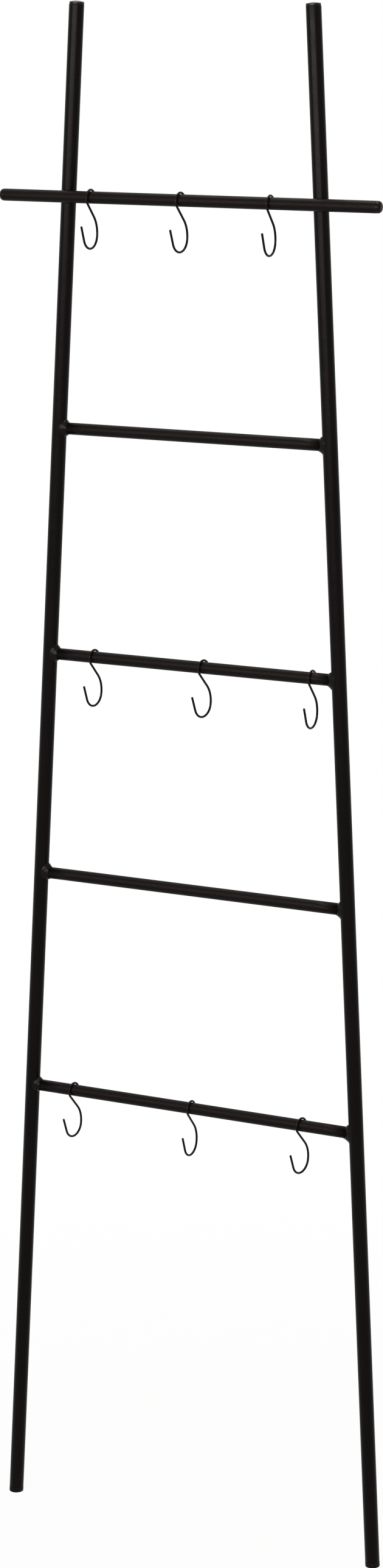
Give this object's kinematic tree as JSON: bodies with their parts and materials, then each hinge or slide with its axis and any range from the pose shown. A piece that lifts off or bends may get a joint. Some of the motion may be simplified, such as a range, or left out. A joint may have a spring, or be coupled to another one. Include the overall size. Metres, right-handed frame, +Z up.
{
  "type": "blanket ladder",
  "caption": "Tall tapered leaning ladder of black steel tube with welded rungs, a wide top bar across the front, and loose S-shaped wire hooks for blankets and towels.",
  "frame": {"origin": "on the floor, in the middle of the ladder's width and of its whole depth with the hooks", "axes": "+X along the rungs to the right, as seen from the front; +Y to the back, where the wall is; +Z up the ladder"},
  "size_m": [0.5826, 0.06, 2.1],
  "materials": {
    "rail_steel": "satin black powder coat with a fine grain",
    "rung_steel": "satin black powder coat with a fine grain",
    "weld_bead": "rippled weld bead under satin black powder coat",
    "hook_wire": "smooth brown-black coated wire",
    "cap_plastic": "black moulded plastic",
    "foot_plastic": "black moulded plastic"
  },
  "bodies": {
    "frame": {"left_rail": "rail_steel", "left_rail_cap": "cap_plastic", "left_foot": "foot_plastic", "left_bar_cap": "cap_plastic", "top_bar_left_upper_weld": "weld_bead", "top_bar_left_lower_weld": "weld_bead", "right_rail": "rail_steel", "right_rail_cap": "cap_plastic", "right_foot": "foot_plastic", "right_bar_cap": "cap_plastic", "top_bar_right_upper_weld": "weld_bead", "top_bar_right_lower_weld": "weld_bead", "top_bar": "rung_steel", "rung_1": "rung_steel", "rung_1_left_weld": "weld_bead", "rung_1_right_weld": "weld_bead", "rung_2": "rung_steel", "rung_2_left_weld": "weld_bead", "rung_2_right_weld": "weld_bead", "rung_3": "rung_steel", "rung_3_left_weld": "weld_bead", "rung_3_right_weld": "weld_bead", "rung_4": "rung_steel", "rung_4_left_weld": "weld_bead", "rung_4_right_weld": "weld_bead"},
    "top_hook_1": {"top_hook_1": "hook_wire"},
    "top_hook_2": {"top_hook_2": "hook_wire"},
    "top_hook_3": {"top_hook_3": "hook_wire"},
    "middle_hook_1": {"middle_hook_1": "hook_wire"},
    "middle_hook_2": {"middle_hook_2": "hook_wire"},
    "middle_hook_3": {"middle_hook_3": "hook_wire"},
    "low_hook_1": {"low_hook_1": "hook_wire"},
    "low_hook_2": {"low_hook_2": "hook_wire"},
    "low_hook_3": {"low_hook_3": "hook_wire"}
  },
  "joints": [
    {"name": "top_hook_1_swing", "type": "hinge", "parent": "frame", "child": "top_hook_1", "pos_m": [-0.141, -0.00499, 1.84742], "axis": [1, 0, 0], "range_deg": [-90, 90]},
    {"name": "top_hook_2_swing", "type": "hinge", "parent": "frame", "child": "top_hook_2", "pos_m": [-0.009, -0.00499, 1.84742], "axis": [1, 0, 0], "range_deg": [-90, 90]},
    {"name": "top_hook_3_swing", "type": "hinge", "parent": "frame", "child": "top_hook_3", "pos_m": [0.12, -0.00499, 1.84742], "axis": [1, 0, 0], "range_deg": [-90, 90]},
    {"name": "middle_hook_1_swing", "type": "hinge", "parent": "frame", "child": "middle_hook_1", "pos_m": [-0.148, 0.0123, 1.2314], "axis": [1, 0, 0], "range_deg": [-90, 90]},
    {"name": "middle_hook_2_swing", "type": "hinge", "parent": "frame", "child": "middle_hook_2", "pos_m": [0.017, 0.0123, 1.2314], "axis": [1, 0, 0], "range_deg": [-90, 90]},
    {"name": "middle_hook_3_swing", "type": "hinge", "parent": "frame", "child": "middle_hook_3", "pos_m": [0.177, 0.0123, 1.2314], "axis": [1, 0, 0], "range_deg": [-90, 90]},
    {"name": "low_hook_1_swing", "type": "hinge", "parent": "frame", "child": "low_hook_1", "pos_m": [-0.183, 0.01155, 0.6154], "axis": [1, 0, 0], "range_deg": [-90, 90]},
    {"name": "low_hook_2_swing", "type": "hinge", "parent": "frame", "child": "low_hook_2", "pos_m": [0, 0.01155, 0.6154], "axis": [1, 0, 0], "range_deg": [-90, 90]},
    {"name": "low_hook_3_swing", "type": "hinge", "parent": "frame", "child": "low_hook_3", "pos_m": [0.167, 0.01155, 0.6154], "axis": [1, 0, 0], "range_deg": [-90, 90]}
  ]
}
